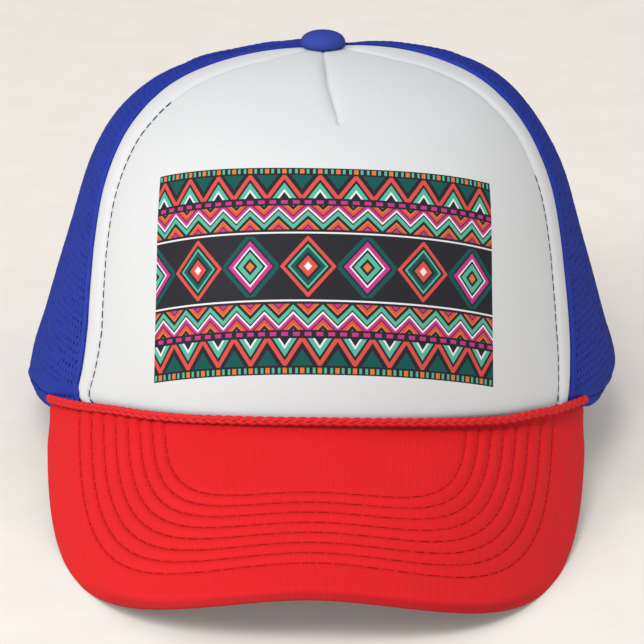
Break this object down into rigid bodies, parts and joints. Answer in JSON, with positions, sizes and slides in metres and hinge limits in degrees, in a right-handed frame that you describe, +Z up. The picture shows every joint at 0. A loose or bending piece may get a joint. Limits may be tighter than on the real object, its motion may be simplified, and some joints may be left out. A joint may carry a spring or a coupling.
{
  "type": "trucker hat",
  "caption": "Foam-front trucker hat with net sides and back, a curved peak, a rope trim, a top button and a snap strap, lying as it rests on a table",
  "frame": {"origin": "centre of the bounding box in plan, on the table that the hat rests on", "axes": "+Z up, the front of the hat looks along -Y, +X is to the right seen from the front, which is the wearer's left; the plane X = 0 is the plane of symmetry"},
  "size_m": [0.1796, 0.2698, 0.1225],
  "materials": {
    "white_foam_cloth": "matte polyester cloth bonded to foam, with a printed geometric design",
    "blue_net": "knitted nylon net",
    "red_cloth": "matte woven polyester over a board, with stitched rows",
    "red_rope": "twisted polyester cord",
    "blue_cloth": "matte woven polyester",
    "white_band": "soft woven cotton",
    "strap_plastic": "satin moulded plastic"
  },
  "bodies": {
    "root": {"front_panel": "white_foam_cloth", "side_panel_left": "blue_net", "side_panel_right": "blue_net", "back_panel_left": "blue_net", "back_panel_right": "blue_net", "peak": "red_cloth", "rope": "red_rope", "top_button": "blue_cloth", "sweatband": "white_band", "arch_tape": "blue_cloth", "snap_strap": "strap_plastic"}
  },
  "joints": []
}
